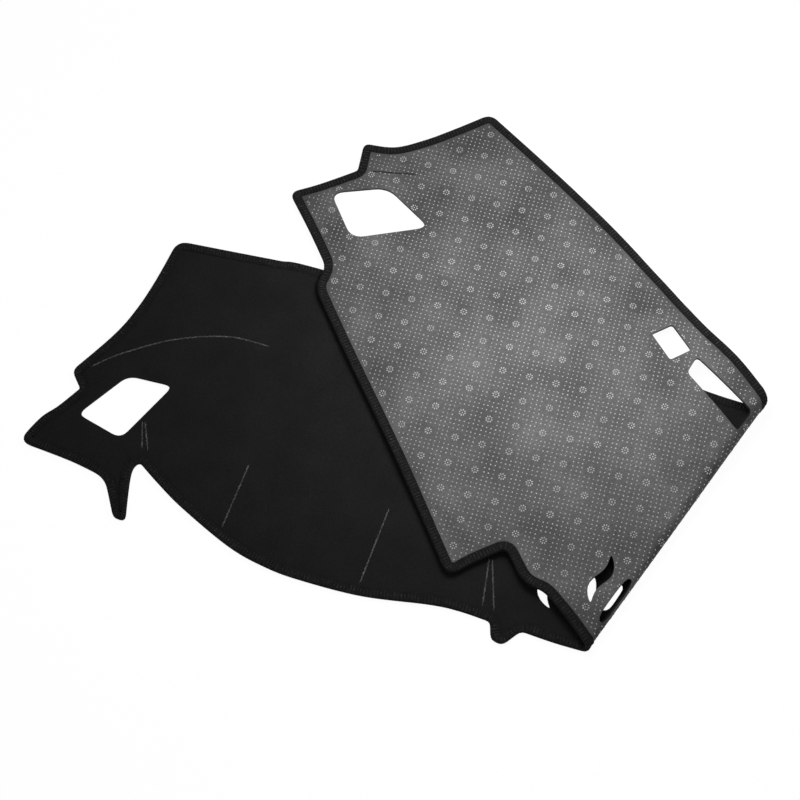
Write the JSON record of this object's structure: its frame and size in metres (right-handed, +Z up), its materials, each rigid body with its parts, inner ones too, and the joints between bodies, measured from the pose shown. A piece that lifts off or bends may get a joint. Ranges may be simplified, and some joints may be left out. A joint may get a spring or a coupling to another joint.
{
  "type": "dashboard cover mat",
  "caption": "Folded felt dashboard cover mat with a dotted anti-slip backing, a bound edge, dart seams and cut-outs for vents, defroster and light sensor.",
  "frame": {"origin": "middle of the folded mat's footprint, on the surface that it lies on", "axes": "+Z up from the surface, +X along the folded mat's longest side, +Y towards the windshield edge of the half that lies face up"},
  "size_m": [0.9428, 0.7652, 0.0392],
  "materials": {
    "felt": "black needle-punched felt, matt",
    "backing": "mid grey non-woven backing, matt",
    "tape": "black overlocked edge binding, matt",
    "thread": "dark seam thread"
  },
  "bodies": {
    "root": {"felt_face": "felt", "anti_slip_backing": "backing", "edge_binding": "tape", "brow_seam": "thread", "tab_dart_seam_left": "thread", "tab_dart_seam_right": "thread", "front_dart_seam_near": "thread", "front_dart_seam_far": "thread", "centre_dart_seam_left": "thread", "centre_dart_seam_right": "thread", "notch_seam": "thread"}
  },
  "joints": []
}
